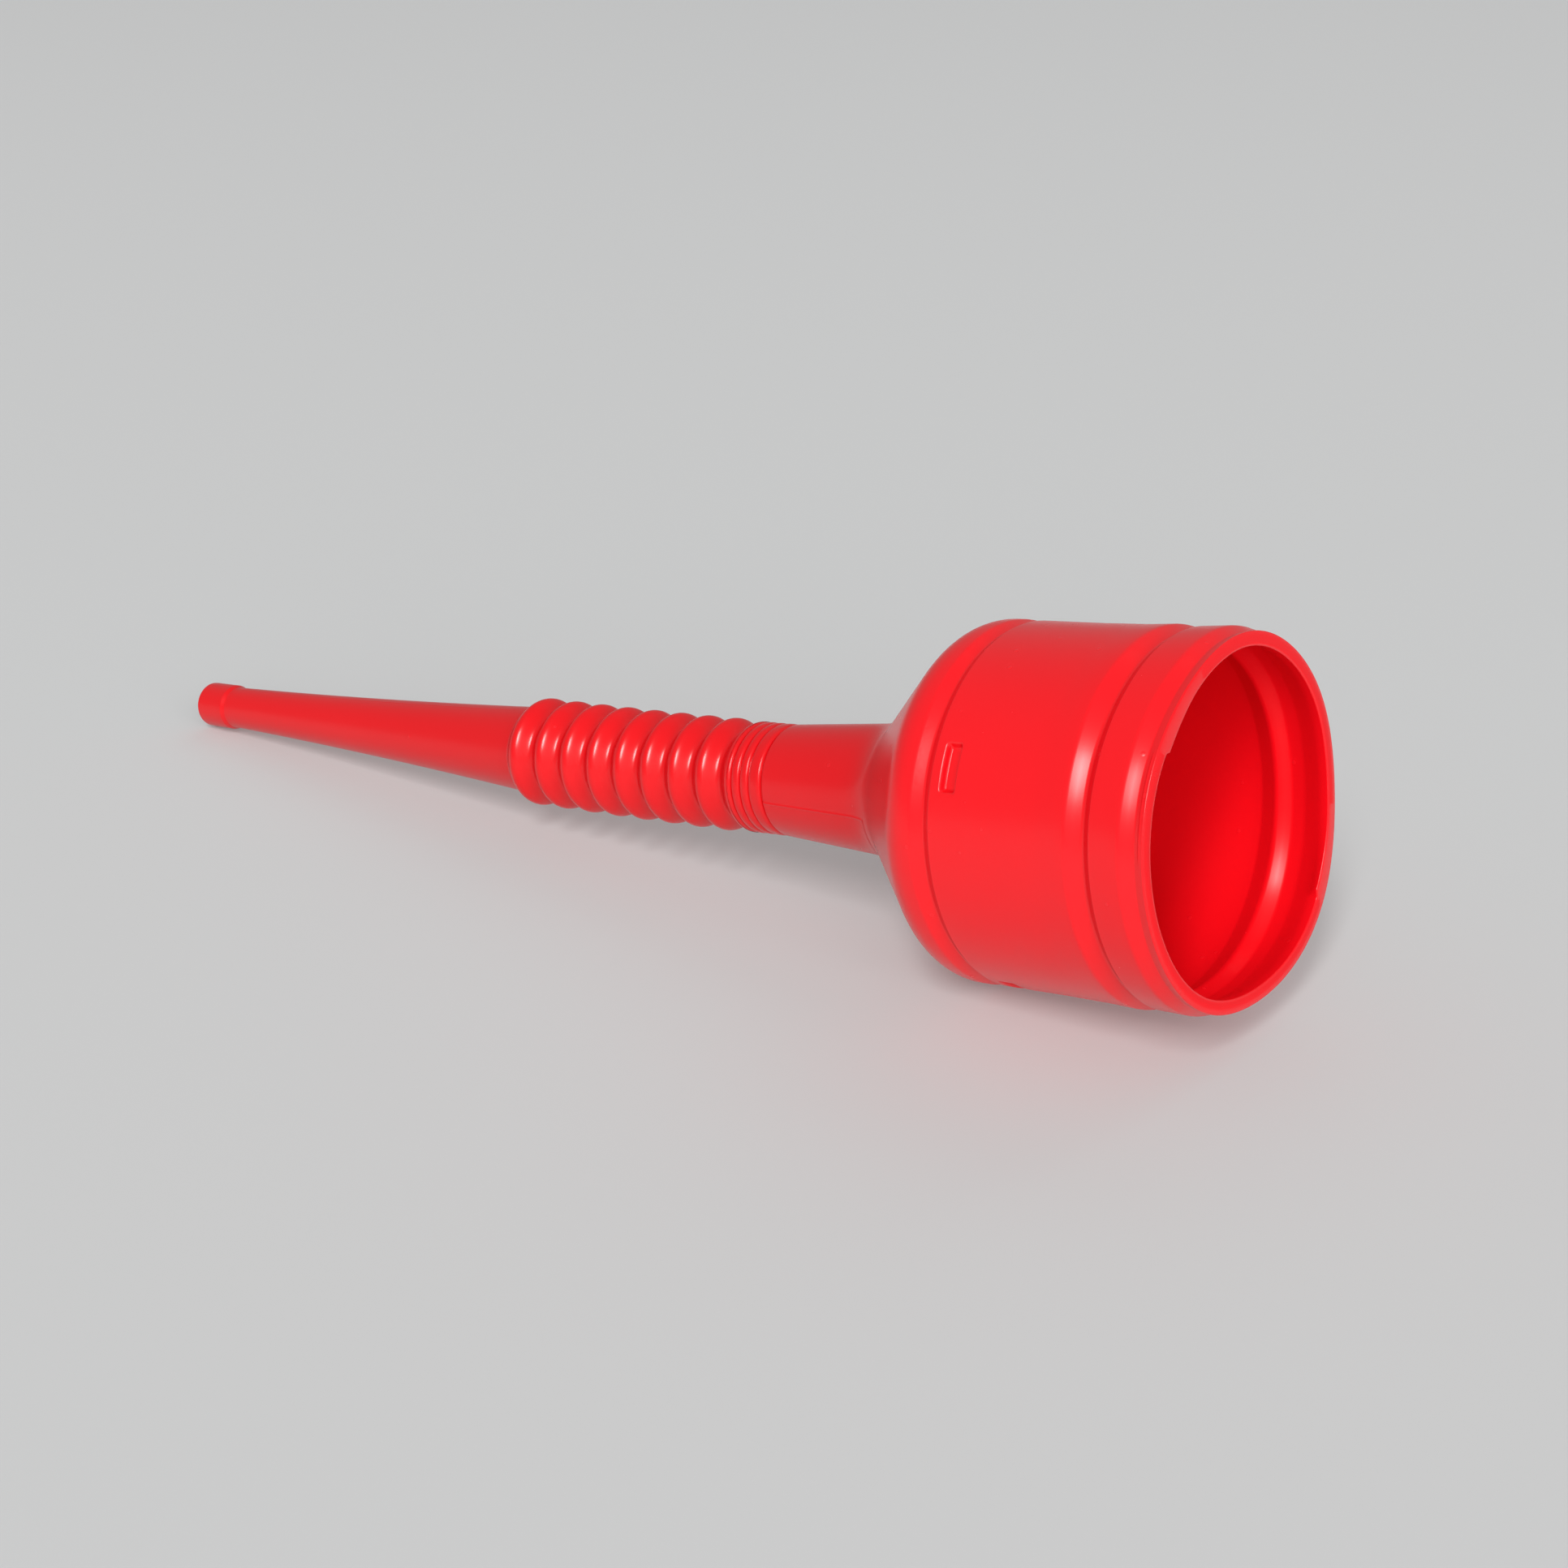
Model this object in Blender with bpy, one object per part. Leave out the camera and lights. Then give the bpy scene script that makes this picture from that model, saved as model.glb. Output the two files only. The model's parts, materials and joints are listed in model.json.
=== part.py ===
"""A blow-moulded fuel funnel with a flexible spout, lying on its side as it is put down on a bench.

The funnel is turned about one centreline. Places along it are distances from the cut rim towards the
nozzle, and every piece is turned in a local frame whose +Z runs along the centreline to the nozzle and
whose +X points up. World +Z is up, the mouth looks towards +X, and the origin is on the bench under the
middle of the funnel.

The bowl, neck and collar are stiff. The eight convolutions behind the collar are rigid rings held
together by nine thin folds, and each fold is a hinge: an empty stands on its axis and carries the rest
of the spout.
"""

import math

import bmesh
import bpy
from mathutils import Vector

# Driving dimensions, in metres.
MOUTH_RADIUS = 0.0600
RIM_INNER_RADIUS = 0.0552
LIP_LENGTH = 0.0045
MOUTH_BEAD_AT = 0.0096
MOUTH_BEAD_RADIUS = 0.0612
GROOVE_EDGE_AT = 0.0193
GROOVE_EDGE_RADIUS = 0.0609
GROOVE_DEPTH = 0.0014
GROOVE_FLOOR_OFFSET = 0.0030
WALL_BEAD_AT = 0.0285
WALL_BEAD_RADIUS = 0.0608
WALL_MIDDLE_AT = 0.0450
WALL_MIDDLE_RADIUS = 0.0603
SHOULDER_EDGE_AT = 0.0772
SHOULDER_EDGE_RADIUS = 0.0599
SHOULDER_GROOVE_DEPTH = 0.0010
SHOULDER_FLOOR_OFFSET = 0.0021
SHOULDER_BEAD_AT = 0.0860
SHOULDER_TURN_AT = 0.0912
SHOULDER_TURN_RADIUS = 0.0593
CONE_START_AT = 0.0960
CONE_START_RADIUS = 0.0562
CONE_END_AT = 0.1250
CONE_END_RADIUS = 0.0286
NECK_START_AT = 0.1310
NECK_START_RADIUS = 0.0245
NECK_BEND_AT = 0.1392
NECK_RADIUS = 0.0224
COLLAR_START_AT = 0.1785
COLLAR_RADIUS = 0.0195
COLLAR_END_AT = 0.1974
COLLAR_BAND = 0.0053
RIB_PITCH = 0.0039
RIB_EDGE = 0.0008
RIB_GROOVE_DEPTH = 0.0006
RIB_COUNT = 3
CREST_RADIUS = 0.02004
CREST_HALF_FLAT = 0.0014
FLANK_HALF_WIDTH = 0.0036
FLANK_RADIUS = 0.0186
FIRST_CREST_AT = 0.2058
CREST_PITCH = 0.01286
CREST_COUNT = 8
RING_HALF_WIDTH = 0.0045
FOLD_RADIUS = 0.0163
NOZZLE_ROOT_RADIUS = 0.0160
NOZZLE_END_RADIUS = 0.0082
NOZZLE_END_AT = 0.4690
NOZZLE_FLARE = 0.39
NOZZLE_SHOULDER = 0.0020
TIP_RADIUS = 0.0090
TIP_LENGTH = 0.0166
TIP_RAMP = 0.0030
TIP_CHAMFER_LENGTH = 0.0015
TIP_CHAMFER_DEPTH = 0.0010
BOWL_WALL = 0.0024
CONE_WALL = 0.0032
NECK_WALL = 0.0018
SPOUT_WALL = 0.0012
NOZZLE_WALL = 0.0015
GAP = 0.0003

DENT_COUNT = 4
DENT_DEPTH = 0.0015
DENT_AT = 0.0705
DENT_WALL_RADIUS = 0.0601
DENT_FLOOR_LENGTH = 0.0030
DENT_SLOPE_LENGTH = 0.0015

# The spout lies propped on its tip, which leaves a slight upward curve in the folds.
REST_BEND = math.radians(1.96)

BOWL_SIDES = 64
NECK_SIDES = 48
SPOUT_SIDES = 24
NOZZLE_STATIONS = 6
DENT_TURN = -11 * 2 * math.pi / BOWL_SIDES

RED = (0.86, 0.018, 0.022, 1.0)
DEEP_RED = (0.72, 0.012, 0.016, 1.0)
ROUGHNESS = 0.3


def clear_scene():
    for thing in list(bpy.data.objects):
        bpy.data.objects.remove(thing, do_unlink=True)


def plastic(name, colour):
    """A glossy polyethylene for one piece."""
    material = bpy.data.materials.new(name + "_plastic")
    material.use_nodes = True
    shader = material.node_tree.nodes["Principled BSDF"]
    shader.inputs["Base Color"].default_value = colour
    shader.inputs["Roughness"].default_value = ROUGHNESS
    shader.inputs["Metallic"].default_value = 0.0
    return material


def turned_shell(outer, inner, sides):
    """A closed shell turned about +Z. outer and inner are lists of (place, radius), mouth end first.
    The corners stand half a side off the axes, so that a flat side faces straight down."""
    mesh = bmesh.new()
    loop = outer + inner[::-1]
    rings = []
    for place, radius in loop:
        ring = []
        for k in range(sides):
            turn = (k + 0.5) * 2 * math.pi / sides
            corner = (radius * math.cos(turn), radius * math.sin(turn), place)
            ring.append(mesh.verts.new(corner))
        rings.append(ring)
    for a, b in zip(rings, rings[1:] + rings[:1]):
        for k in range(sides):
            n = (k + 1) % sides
            mesh.faces.new((a[k], a[n], b[n], b[k]))
    bmesh.ops.recalc_face_normals(mesh, faces=mesh.faces)
    return mesh


def add_piece(name, shell, parent, colour=RED, sharp=math.radians(35)):
    """Makes a node of a shell that is modelled in its parent's frame."""
    mesh = bpy.data.meshes.new(name)
    shell.to_mesh(mesh)
    shell.free()
    mesh.shade_smooth()
    mesh.set_sharp_from_angle(angle=sharp)
    mesh.materials.append(plastic(name, colour))
    piece = bpy.data.objects.new(name, mesh)
    bpy.context.scene.collection.objects.link(piece)
    piece.parent = parent
    return piece


def add_frame(name, parent, along=0.0, tilt=0.0):
    """An empty on the centreline, along its parent's +Z and tilted up about +Y."""
    frame = bpy.data.objects.new(name, None)
    bpy.context.scene.collection.objects.link(frame)
    frame.empty_display_size = 0.02
    frame.parent = parent
    frame.location = (0.0, 0.0, along)
    frame.rotation_euler = (0.0, tilt, 0.0)
    return frame


def shifted(profile, start):
    """A profile with its places counted from start."""
    return [(place - start, radius) for place, radius in profile]


def bowl_outer():
    """The bowl's outer wall: lip, mouth bead, groove, wall bead, cylinder, shoulder groove and bead, cone."""
    groove_floor = GROOVE_EDGE_RADIUS - GROOVE_DEPTH
    shoulder_floor = SHOULDER_EDGE_RADIUS - SHOULDER_GROOVE_DEPTH
    dent_half = DENT_FLOOR_LENGTH / 2
    dent_edge = dent_half + DENT_SLOPE_LENGTH
    profile = [
        (0.0, MOUTH_RADIUS),
        (LIP_LENGTH, MOUTH_RADIUS),
        (MOUTH_BEAD_AT, MOUTH_BEAD_RADIUS),
        (GROOVE_EDGE_AT, GROOVE_EDGE_RADIUS),
        (GROOVE_EDGE_AT + GROOVE_FLOOR_OFFSET, groove_floor),
        (WALL_BEAD_AT, WALL_BEAD_RADIUS),
        (WALL_MIDDLE_AT, WALL_MIDDLE_RADIUS),
    ]
    for place in (-dent_edge, -dent_half, dent_half, dent_edge):
        profile.append((DENT_AT + place, DENT_WALL_RADIUS))
    profile += [
        (SHOULDER_EDGE_AT, SHOULDER_EDGE_RADIUS),
        (SHOULDER_EDGE_AT + SHOULDER_FLOOR_OFFSET, shoulder_floor),
        (SHOULDER_BEAD_AT, MOUTH_RADIUS),
        (SHOULDER_TURN_AT, SHOULDER_TURN_RADIUS),
        (CONE_START_AT, CONE_START_RADIUS),
        (CONE_END_AT, CONE_END_RADIUS),
        (NECK_START_AT - GAP, NECK_START_RADIUS),
    ]
    return profile


def bowl_inner():
    """The bowl's inner wall, which follows the outer one from inside the thick lip to the neck."""
    profile = [(0.0, RIM_INNER_RADIUS), (LIP_LENGTH, RIM_INNER_RADIUS + BOWL_WALL / 2)]
    for place, radius in bowl_outer()[2:]:
        wall = CONE_WALL if place > SHOULDER_TURN_AT else BOWL_WALL
        profile.append((place, radius - wall))
    return profile


def press_dents(shell):
    """Presses the four snap dents inwards through both faces of the wall."""
    side = 2 * math.pi / BOWL_SIDES
    quarter = 2 * math.pi / DENT_COUNT
    for corner in shell.verts:
        if abs(corner.co.z - DENT_AT) > DENT_FLOOR_LENGTH / 2 + GAP:
            continue
        turn = math.atan2(corner.co.y, corner.co.x) - DENT_TURN
        off_centre = (turn + quarter / 2) % quarter - quarter / 2
        if abs(off_centre) < side:
            radius = Vector((corner.co.x, corner.co.y)).length
            scale = (radius - DENT_DEPTH) / radius
            corner.co.x *= scale
            corner.co.y *= scale


def make_bowl(axis):
    shell = turned_shell(bowl_outer(), bowl_inner(), BOWL_SIDES)
    press_dents(shell)
    add_piece("bowl", shell, axis, DEEP_RED)


def make_neck(axis):
    groove = COLLAR_START_AT - RIB_EDGE
    outer = [
        (NECK_START_AT, NECK_START_RADIUS),
        ((NECK_START_AT + NECK_BEND_AT) / 2, NECK_RADIUS + (NECK_START_RADIUS - NECK_RADIUS) / 3),
        (NECK_BEND_AT, NECK_RADIUS),
        (groove - RIB_EDGE / 2, COLLAR_RADIUS),
        (groove, COLLAR_RADIUS - RIB_GROOVE_DEPTH),
        (COLLAR_START_AT - GAP, COLLAR_RADIUS - RIB_GROOVE_DEPTH),
    ]
    inner = [
        (NECK_START_AT, NECK_START_RADIUS - CONE_WALL),
        (NECK_BEND_AT, NECK_RADIUS - NECK_WALL),
        (COLLAR_START_AT - GAP, COLLAR_RADIUS - NECK_WALL),
    ]
    add_piece("neck", turned_shell(outer, inner, NECK_SIDES), axis)


def make_collar(axis):
    """The collar band and the fine ribs between it and the first fold, each behind a fine groove."""
    outer = [(COLLAR_START_AT, COLLAR_RADIUS)]
    for k in range(RIB_COUNT):
        groove = COLLAR_START_AT + COLLAR_BAND + k * RIB_PITCH
        outer.append((groove - RIB_EDGE, COLLAR_RADIUS))
        outer.append((groove, COLLAR_RADIUS - RIB_GROOVE_DEPTH))
        outer.append((groove + RIB_EDGE, COLLAR_RADIUS))
    outer += [
        (COLLAR_END_AT - 2 * RIB_EDGE, COLLAR_RADIUS - RIB_GROOVE_DEPTH),
        (COLLAR_END_AT, FOLD_RADIUS + GAP),
    ]
    inner = [
        (COLLAR_START_AT, COLLAR_RADIUS - NECK_WALL),
        (COLLAR_END_AT - NECK_WALL, COLLAR_RADIUS - NECK_WALL),
        (COLLAR_END_AT, FOLD_RADIUS - SPOUT_WALL),
    ]
    add_piece("collar", turned_shell(outer, inner, SPOUT_SIDES), axis)


def make_fold(number, carrier, start):
    """The thin wall at the bottom of a valley, in the frame of the piece that carries it."""
    hinge = FIRST_CREST_AT + (number - 1.5) * CREST_PITCH
    reach = CREST_PITCH / 2 - RING_HALF_WIDTH - GAP
    outer = [(hinge - reach, FOLD_RADIUS), (hinge + reach, FOLD_RADIUS)]
    inner = [(place, radius - SPOUT_WALL) for place, radius in outer]
    shell = turned_shell(shifted(outer, start), shifted(inner, start), SPOUT_SIDES)
    add_piece(f"fold_{number}", shell, carrier, DEEP_RED)


def make_convolution(number, hinge_frame):
    """One rounded ring of the bellows, half a pitch past its hinge."""
    half_outer = [
        (CREST_HALF_FLAT, CREST_RADIUS),
        (FLANK_HALF_WIDTH, FLANK_RADIUS),
        (RING_HALF_WIDTH, FOLD_RADIUS + GAP),
    ]
    half_inner = [
        (RING_HALF_WIDTH / 2, CREST_RADIUS - NOZZLE_WALL),
        (RING_HALF_WIDTH, FOLD_RADIUS - SPOUT_WALL),
    ]
    middle = CREST_PITCH / 2
    walls = []
    for half in (half_outer, half_inner):
        before = [(middle - off, radius) for off, radius in half[::-1]]
        after = [(middle + off, radius) for off, radius in half]
        walls.append(before + after)
    shell = turned_shell(walls[0], walls[1], SPOUT_SIDES)
    add_piece(f"convolution_{number}", shell, hinge_frame)


def nozzle_radius(place):
    """The nozzle's outer radius: a cone whose sides hollow slightly towards the root."""
    start = nozzle_start()
    share = (NOZZLE_END_AT - place) / (NOZZLE_END_AT - start)
    growth = (1 - NOZZLE_FLARE) * share + NOZZLE_FLARE * share**2
    return NOZZLE_END_RADIUS + (NOZZLE_ROOT_RADIUS - NOZZLE_END_RADIUS) * growth


def last_hinge():
    return FIRST_CREST_AT + (CREST_COUNT - 0.5) * CREST_PITCH


def nozzle_start():
    return last_hinge() + CREST_PITCH / 2 - RING_HALF_WIDTH


def make_nozzle(hinge_frame):
    start, end = nozzle_start(), NOZZLE_END_AT - GAP
    length = end - start - NOZZLE_SHOULDER
    outer = [(start, FOLD_RADIUS + GAP)]
    for k in range(NOZZLE_STATIONS + 1):
        place = start + NOZZLE_SHOULDER + length * k / NOZZLE_STATIONS
        outer.append((place, nozzle_radius(place)))
    inner = [(start, FOLD_RADIUS - NOZZLE_WALL)]
    inner += [(place, radius - NOZZLE_WALL) for place, radius in outer[1::2]]
    shell = turned_shell(
        shifted(outer, last_hinge()), shifted(inner, last_hinge()), SPOUT_SIDES
    )
    add_piece("nozzle", shell, hinge_frame)


def tip_outer():
    return [
        (NOZZLE_END_AT, NOZZLE_END_RADIUS),
        (NOZZLE_END_AT + TIP_RAMP, TIP_RADIUS),
        (NOZZLE_END_AT + TIP_LENGTH - TIP_CHAMFER_LENGTH, TIP_RADIUS),
        (NOZZLE_END_AT + TIP_LENGTH, TIP_RADIUS - TIP_CHAMFER_DEPTH),
    ]


def make_tip(hinge_frame):
    """The short, slightly thicker end of the nozzle that goes into the filler neck."""
    bore = NOZZLE_END_RADIUS - NOZZLE_WALL
    inner = [(NOZZLE_END_AT, bore), (NOZZLE_END_AT + TIP_LENGTH, bore)]
    shell = turned_shell(
        shifted(tip_outer(), last_hinge()), shifted(inner, last_hinge()), SPOUT_SIDES
    )
    add_piece("nozzle_tip", shell, hinge_frame)


def drop_at_bowl(pitch):
    """How far below the rim's centre the bowl reaches, with its centreline pitch down."""
    flat = math.cos(math.pi / BOWL_SIDES)
    reach = [s * math.sin(pitch) + r * flat * math.cos(pitch) for s, r in bowl_outer()]
    return max(reach)


def drop_at_tip(pitch):
    """The same for the nozzle's tip, at the end of the curved row of folds."""
    down, place, slope = 0.0, 0.0, pitch
    for k in range(CREST_COUNT + 1):
        hinge = FIRST_CREST_AT + (k - 0.5) * CREST_PITCH
        down += (hinge - place) * math.sin(slope)
        place, slope = hinge, slope - REST_BEND / (CREST_COUNT + 1)
    flat = math.cos(math.pi / SPOUT_SIDES)
    reach = [(s - place) * math.sin(slope) + r * flat * math.cos(slope) for s, r in tip_outer()]
    return down + max(reach)


def resting_pitch():
    """The pitch at which the shoulder and the tip touch the bench together, by halving."""
    low, high = 0.0, math.radians(20)
    for _ in range(50):
        middle = (low + high) / 2
        if drop_at_tip(middle) < drop_at_bowl(middle):
            low = middle
        else:
            high = middle
    return middle


def settle_on_origin(axis):
    """Moves the funnel so that its box stands on the origin."""
    bpy.context.view_layer.update()
    corners = []
    for piece in bpy.context.scene.objects:
        if piece.type == "MESH":
            corners += [piece.matrix_world @ v.co for v in piece.data.vertices]
    lows = [min(c[i] for c in corners) for i in range(3)]
    highs = [max(c[i] for c in corners) for i in range(3)]
    middle = Vector([(low + high) / 2 for low, high in zip(lows, highs)])
    axis.location -= Vector((middle.x, middle.y, lows[2]))
    bpy.context.view_layer.update()


def make_funnel():
    clear_scene()
    axis = add_frame("funnel_axis", None)
    axis.rotation_euler = (0.0, -math.pi / 2 - resting_pitch(), 0.0)
    make_bowl(axis)
    make_neck(axis)
    make_collar(axis)
    make_fold(1, axis, 0.0)
    carrier, along = axis, FIRST_CREST_AT - CREST_PITCH / 2
    step = REST_BEND / (CREST_COUNT + 1)
    for number in range(1, CREST_COUNT + 1):
        hinge = add_frame(f"hinge_{number}", carrier, along, step)
        make_convolution(number, hinge)
        make_fold(number + 1, hinge, FIRST_CREST_AT + (number - 1.5) * CREST_PITCH)
        carrier, along = hinge, CREST_PITCH
    hinge = add_frame(f"hinge_{CREST_COUNT + 1}", carrier, along, step)
    make_nozzle(hinge)
    make_tip(hinge)
    settle_on_origin(axis)


make_funnel()
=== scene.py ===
# %% [markdown]
# # A fuel funnel with a flexible spout
#
# The real funnel is one hollow skin of glossy red polyethylene. A hot tube of plastic was blown out against
# the inside of a cold mould, so every groove and bead on the outside shows again, softened, on the inside.
# The imported CAD model says where everything is and how the spout bends. This script dresses it: finer closed
# shells stand in the same places as its pieces, and the shells between the rings are laid between the rings'
# frames.

# %% Load the imported funnel
import bisect
import json
import math

import bpy
import numpy as np
from mathutils import Matrix, Vector


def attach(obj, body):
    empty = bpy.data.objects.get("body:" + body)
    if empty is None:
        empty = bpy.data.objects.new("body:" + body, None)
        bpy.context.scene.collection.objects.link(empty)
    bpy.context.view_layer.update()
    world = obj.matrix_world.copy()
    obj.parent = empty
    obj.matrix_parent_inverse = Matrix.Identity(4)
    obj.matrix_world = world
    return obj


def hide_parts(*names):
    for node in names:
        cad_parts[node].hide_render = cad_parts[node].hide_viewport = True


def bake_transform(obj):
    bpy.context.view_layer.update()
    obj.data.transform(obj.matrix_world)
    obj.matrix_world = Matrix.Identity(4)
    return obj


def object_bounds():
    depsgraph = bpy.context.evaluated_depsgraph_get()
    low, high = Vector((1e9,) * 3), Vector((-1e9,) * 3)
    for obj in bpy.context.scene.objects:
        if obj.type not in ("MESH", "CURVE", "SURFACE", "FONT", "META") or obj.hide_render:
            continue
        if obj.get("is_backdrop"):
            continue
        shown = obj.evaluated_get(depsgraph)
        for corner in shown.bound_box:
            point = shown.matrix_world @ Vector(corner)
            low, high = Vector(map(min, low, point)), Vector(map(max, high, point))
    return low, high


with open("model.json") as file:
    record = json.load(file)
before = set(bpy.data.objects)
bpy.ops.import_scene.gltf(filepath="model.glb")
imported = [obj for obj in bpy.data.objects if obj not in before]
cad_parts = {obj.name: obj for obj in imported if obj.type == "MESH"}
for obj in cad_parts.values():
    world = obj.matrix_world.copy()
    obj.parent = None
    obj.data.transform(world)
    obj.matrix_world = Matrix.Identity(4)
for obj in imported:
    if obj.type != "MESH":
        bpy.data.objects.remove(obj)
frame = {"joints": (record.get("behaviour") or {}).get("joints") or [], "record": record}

CAD_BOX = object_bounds()
MM = 0.001

# %% [markdown]
# ## The centreline
#
# A turned object is easiest to describe straight: how far along the axis, and how far out from it. The
# funnel lies a little nose down, and its spout curves slightly where it is propped on its tip. So every
# shell is modelled straight, with +Z along the centreline from the cut rim to the nozzle and +X up, and is
# then laid on the real centreline. The record gives the line: the rim's mount gives where it starts and
# which way it points, and each hinge of the bellows lies on it. Between two crests the two neighbouring
# rings' frames are mixed in the way that the bellows mix them when they bend.

# %% The frames of the rings at rest
def ring_frames():
    """A matrix for each stiff body, bowl first, that carries straight coordinates to where they lie."""
    rim = next(m for m in frame["record"]["mounts"] if m["name"] == "rim_face")
    start = Vector((rim["pos_m"][0], 0.0, rim["pos_m"][2]))
    hinges = [Vector(joint["pos_m"]) for joint in frame["joints"]]
    points = [start] + hinges
    tip = next(m for m in frame["record"]["mounts"] if m["name"] == "nozzle_end_face")
    directions = [(b - a).normalized() for a, b in zip(points, hinges)]
    directions.append(Vector(tip["axis"]).normalized())
    side = Vector((0.0, 1.0, 0.0))
    matrices, along = [], 0.0
    for k, (point, towards) in enumerate(zip(points, directions)):
        if k:
            along += (point - points[k - 1]).length
        up = side.cross(towards)
        if up.z < 0:
            up = -up
        turn = Matrix((up, side, towards)).transposed().to_4x4()
        matrices.append(Matrix.Translation(point) @ turn @ Matrix.Translation((0, 0, -along)))
    first = (hinges[0] - start).length
    pitch = (hinges[-1] - hinges[0]).length / (len(hinges) - 1)
    return matrices, first, pitch


RING_FRAMES, FIRST_HINGE, PITCH = ring_frames()
FOLDS = len(RING_FRAMES) - 1
print(f"first hinge {FIRST_HINGE / MM:.1f} mm from the rim, pitch {PITCH / MM:.2f} mm, {FOLDS} folds")


# %% Lay straight points on the centreline
def smooth(value):
    """Runs smoothly from 0 to 1 as value does, and stays there outside."""
    value = np.clip(value, 0.0, 1.0)
    return value * value * (3 - 2 * value)


def lay(points):
    """Carries an array of straight points to where they lie."""
    points = np.asarray(points, float)
    whole = np.c_[points, np.ones(len(points))]
    laid = whole @ np.array(RING_FRAMES[0]).T
    for k in range(1, FOLDS + 1):
        crest = FIRST_HINGE + (k - 1.5) * PITCH
        share = smooth((points[:, 2] - crest) / PITCH)[:, None]
        laid = laid * (1 - share) + (whole @ np.array(RING_FRAMES[k]).T) * share
    return laid[:, :3]


def on_axis(place):
    """The centreline's point at a distance from the rim."""
    return Vector(lay([(0.0, 0.0, place)])[0])


last_hinge = on_axis(FIRST_HINGE + (FOLDS - 1) * PITCH)
print("the last hinge lies at", [round(c / MM, 1) for c in last_hinge], "mm")

# %% [markdown]
# ## Arithmetic on sockets
#
# Node trees are easier to read as formulas. A `Wire` holds one socket, and adding or multiplying Wires adds
# Math nodes. Its `add` method makes any other node: settings first, then the values or links of its inputs.
# The same class serves the Geometry Nodes that shape the bellows and the shaders that colour them.

# %% The Wire class
class Wire:
    """One output socket of a node tree, with Python's arithmetic on it."""

    def __init__(self, tree, socket=None):
        self.tree = tree
        self.socket = socket

    def add(self, kind, settings=None, inputs=None, output=0):
        """Makes a node and returns a Wire on one of its outputs."""
        node = self.tree.nodes.new(kind)
        for name, value in (settings or {}).items():
            setattr(node, name, value)
        for key, value in (inputs or {}).items():
            if isinstance(value, Wire):
                self.tree.links.new(value.socket, node.inputs[key])
            else:
                node.inputs[key].default_value = value
        return Wire(self.tree, node.outputs[output])

    def maths(self, operation, *values, clamp=False):
        settings = {"operation": operation, "use_clamp": clamp}
        return self.add("ShaderNodeMath", settings, dict(enumerate(values)))

    def __add__(self, other):
        return self.maths("ADD", self, other)

    def __sub__(self, other):
        return self.maths("SUBTRACT", self, other)

    def __rsub__(self, other):
        return self.maths("SUBTRACT", other, self)

    def __mul__(self, other):
        return self.maths("MULTIPLY", self, other)

    def __truediv__(self, other):
        return self.maths("DIVIDE", self, other)

    def __neg__(self):
        return self.maths("MULTIPLY", self, -1.0)

    __radd__ = __add__
    __rmul__ = __mul__

    def between(self, low, high):
        """0 below low, 1 above high, and smooth in between. High may be the lower one."""
        ramp = self.maths("DIVIDE", self - low, high - low, clamp=True)
        return ramp * ramp * (3.0 - 2.0 * ramp)


print("Wire is ready")

# %% [markdown]
# ## Outlines with rounded corners
#
# A mould maker draws a turned part as straight lines whose corners are rounded by a stated radius. The
# helper below does that: each corner is (place, radius, rounding) in millimetres, and it returns the
# points of the lines and arcs. Long straight stretches get extra points, because the wall is pressed in and
# pushed out of round later, and close points only where fine detail needs them.

# %% Rounded outlines
ARC_STEP = math.radians(8)
COARSE_STEP = 3.8


def rounded(corners):
    """The outline through corners, with each inner corner replaced by an arc of its rounding."""
    outline = [Vector(corners[0][:2])]
    for before, corner, after in zip(corners, corners[1:], corners[2:]):
        point, rounding = Vector(corner[:2]), corner[2]
        back = (Vector(before[:2]) - point).normalized()
        on = (Vector(after[:2]) - point).normalized()
        turn = math.pi - back.angle(on)
        reach = rounding * math.tan(turn / 2)
        centre = point + (back + on).normalized() * (rounding / math.cos(turn / 2))
        first = point + back * reach - centre
        last = point + on * reach - centre
        pieces = max(1, math.ceil(turn / ARC_STEP))
        for k in range(pieces + 1):
            outline.append(centre + first.slerp(last, k / pieces) * rounding)
    outline.append(Vector(corners[-1][:2]))
    return outline


def divided(outline, fine_zones=()):
    """Adds points to long stretches: every COARSE_STEP mm, or every STEP mm in a (START, END, STEP) zone."""
    points = [outline[0]]
    for a, b in zip(outline, outline[1:]):
        stops = [0.0, 1.0]
        if b.x > a.x:
            for start, end, _ in fine_zones:
                stops += [(stop - a.x) / (b.x - a.x) for stop in (start, end) if a.x < stop < b.x]
        stops.sort()
        for low, high in zip(stops, stops[1:]):
            p, q = a.lerp(b, low), a.lerp(b, high)
            middle = (p.x + q.x) / 2
            steps = [step for start, end, step in fine_zones if start <= middle <= end]
            count = max(1, math.ceil((q - p).length / min(steps + [COARSE_STEP])))
            points += [p.lerp(q, k / count) for k in range(1, count + 1)]
    return [(p.x * MM, p.y * MM) for p in points]


print("a square corner rounded by 2 mm takes", len(rounded([(0, 0, 0), (9, 0, 2), (9, 9, 0)])), "points")

# %% [markdown]
# ## Turned shells
#
# One function turns an outer and an inner outline into a closed shell. A Screw modifier could do it, but the
# bowl's wall isn't quite round: it is dented, and its mouth has sagged out of round as it cooled. So the
# function asks a `shape` rule how far each point moves in or out. Each shell also keeps its straight
# coordinates in an attribute named `straight`, which the plastic's patterns follow.

# %% Make a closed shell
SHARP_ANGLE = math.radians(50)


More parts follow.
